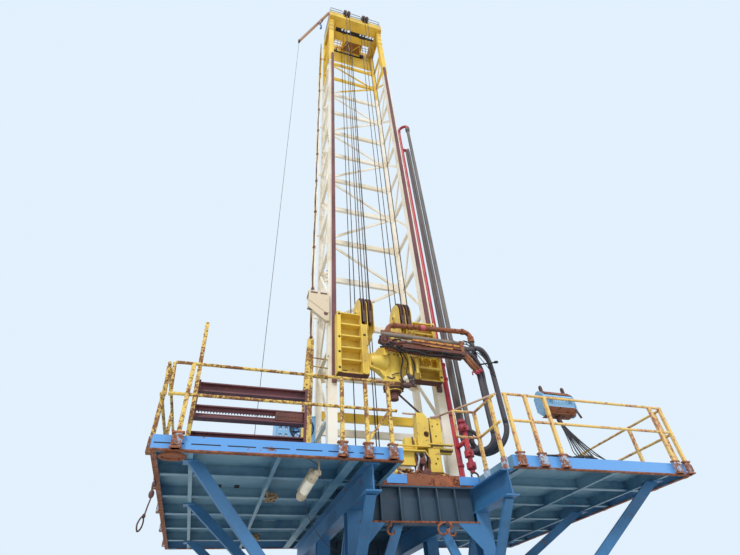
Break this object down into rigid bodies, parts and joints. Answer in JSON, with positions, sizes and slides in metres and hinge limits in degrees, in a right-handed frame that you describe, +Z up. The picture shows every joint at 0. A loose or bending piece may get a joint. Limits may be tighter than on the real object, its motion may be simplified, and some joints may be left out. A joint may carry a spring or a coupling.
{
  "type": "oil drilling rig",
  "caption": "Portable land drilling rig: blue floor on a braced base, open-front lattice mast with crown, guided top-drive carriage, standpipe and hanging hoses.",
  "frame": {"origin": "ground level, at the middle of the rig's outline", "axes": "+Z up the mast, +Y to the rear, the floor's recess and the well at -Y, +X to the standpipe side"},
  "size_m": [9.338, 6.528, 28.12],
  "materials": {
    "sub_blue": "worn deep blue paint",
    "deck_blue": "scratched bright blue paint",
    "rusty_steel": "rusted steel",
    "rail_yellow": "worn yellow paint with rust",
    "rack_maroon": "dull maroon paint",
    "box_blue": "worn blue paint",
    "mast_cream": "weathered cream paint",
    "crown_yellow": "yellow paint",
    "carriage_yellow": "worn yellow paint",
    "dark_steel": "greased steel",
    "grey_steel": "galvanised",
    "pipe_red": "red paint",
    "hose_rubber": "black rubber"
  },
  "bodies": {
    "rig": {"left_base_skid": "sub_blue", "right_base_skid": "sub_blue", "base_cross_beams": "sub_blue", "left_column_frame": "sub_blue", "right_column_frame": "sub_blue", "front_frame": "sub_blue", "rear_frame": "sub_blue", "wing_braces": "sub_blue", "left_wing_deck": "deck_blue", "centre_deck": "deck_blue", "recess_decks": "deck_blue", "right_wing_deck": "deck_blue", "rotary_table": "rusty_steel", "left_front_handrail": "rail_yellow", "left_side_handrail": "rail_yellow", "rear_handrail": "rail_yellow", "right_side_handrail": "rail_yellow", "right_front_handrail": "rail_yellow", "recess_handrail": "rail_yellow", "beam_rack": "rack_maroon", "leaning_pole": "rail_yellow", "cooler_box": "box_blue", "junction_box": "box_blue", "floor_tongs": "carriage_yellow", "winch_cover": "mast_cream", "side_post": "rail_yellow", "deck_lamp": "mast_cream", "mast_left_side": "mast_cream", "mast_right_side": "mast_cream", "mast_back": "mast_cream", "guide_rails": "rack_maroon", "mast_ladder": "mast_cream", "ladder_landing": "mast_cream", "mast_base_beam": "crown_yellow", "crown_frame": "crown_yellow", "crown_guardrail": "grey_steel", "jib": "crown_yellow", "catline": "dark_steel", "drill_lines": "dark_steel", "fast_lines": "dark_steel", "standpipe": "pipe_red", "manifold": "pipe_red", "mud_hose_long": "hose_rubber", "service_loop_long": "hose_rubber"},
    "carriage": {"carriage_left_frame": "carriage_yellow", "carriage_right_frame": "carriage_yellow", "top_drive": "carriage_yellow", "gooseneck_pipe": "rusty_steel", "service_arm": "rusty_steel", "mud_hose_short": "hose_rubber", "service_loop_short": "hose_rubber"},
    "hose_bends": {"mud_hose_bend": "hose_rubber", "service_loop_bend": "hose_rubber"},
    "quill": {"quill": "dark_steel"},
    "travelling_sheaves_left": {"travelling_sheaves_left": "dark_steel"},
    "travelling_sheaves_right": {"travelling_sheaves_right": "dark_steel"},
    "crown_sheaves_left": {"crown_sheaves_left": "rusty_steel"},
    "crown_sheaves_right": {"crown_sheaves_right": "rusty_steel"},
    "cooler_fan": {"cooler_fan": "box_blue"}
  },
  "joints": [
    {"name": "hoist", "type": "slide", "parent": "rig", "child": "carriage", "axis": [0, 0, 1], "range_m": [0, 14], "deforming": ["drill_lines", "mud_hose_long", "service_loop_long"]},
    {"name": "hose_follow", "type": "slide", "parent": "carriage", "child": "hose_bends", "axis": [0, 0, 1], "range_m": [-7.05, 0], "deforming": ["mud_hose_short", "service_loop_short"]},
    {"name": "quill_spin", "type": "hinge", "parent": "carriage", "child": "quill", "pos_m": [-0.38, -1.395, 5.8], "axis": [0, 0, 1], "continuous": true},
    {"name": "travelling_sheaves_left_spin", "type": "hinge", "parent": "carriage", "child": "travelling_sheaves_left", "pos_m": [-0.875, -1.07, 8.17], "axis": [1, 0, 0], "continuous": true},
    {"name": "travelling_sheaves_right_spin", "type": "hinge", "parent": "carriage", "child": "travelling_sheaves_right", "pos_m": [0.115, -1.07, 8.17], "axis": [1, 0, 0], "continuous": true},
    {"name": "crown_sheaves_left_spin", "type": "hinge", "parent": "rig", "child": "crown_sheaves_left", "pos_m": [-0.875, -1.07, 27.6], "axis": [1, 0, 0], "continuous": true},
    {"name": "crown_sheaves_right_spin", "type": "hinge", "parent": "rig", "child": "crown_sheaves_right", "pos_m": [0.115, -1.07, 27.6], "axis": [1, 0, 0], "continuous": true},
    {"name": "cooler_fan_spin", "type": "hinge", "parent": "rig", "child": "cooler_fan", "pos_m": [-2.19, -0.5, 5.37], "axis": [0, 1, 0], "continuous": true}
  ],
  "couplings": [
    {"joint": "hose_follow", "follows": "hoist", "ratio": -0.5}
  ]
}
